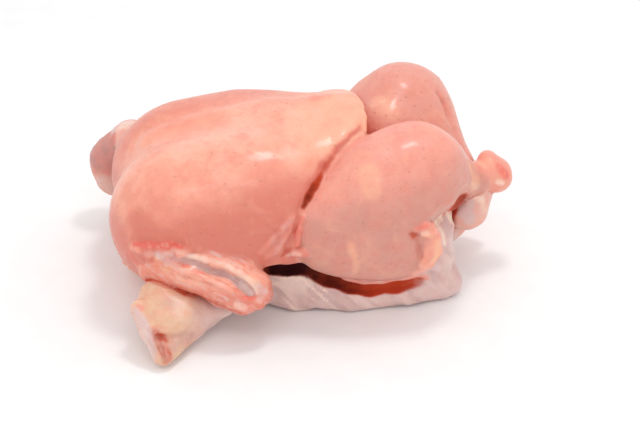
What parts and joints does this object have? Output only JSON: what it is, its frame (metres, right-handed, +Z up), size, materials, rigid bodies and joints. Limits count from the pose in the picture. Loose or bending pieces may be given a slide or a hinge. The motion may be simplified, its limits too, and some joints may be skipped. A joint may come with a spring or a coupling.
{
  "type": "whole raw chicken",
  "caption": "Whole raw chicken lying on its back, plucked and dressed, with its hocks crossed and its wings at its sides.",
  "frame": {"origin": "middle of the bird's bounding box, on the surface it lies on", "axes": "+X from the neck end to the hocks, -Y the side with the spread wing, +Z up through the breast"},
  "size_m": [0.287, 0.2059, 0.1271],
  "materials": {
    "skin": "moist raw poultry skin, salmon pink, with a soft sheen"
  },
  "bodies": {
    "root": {"chicken": "skin"}
  },
  "joints": []
}
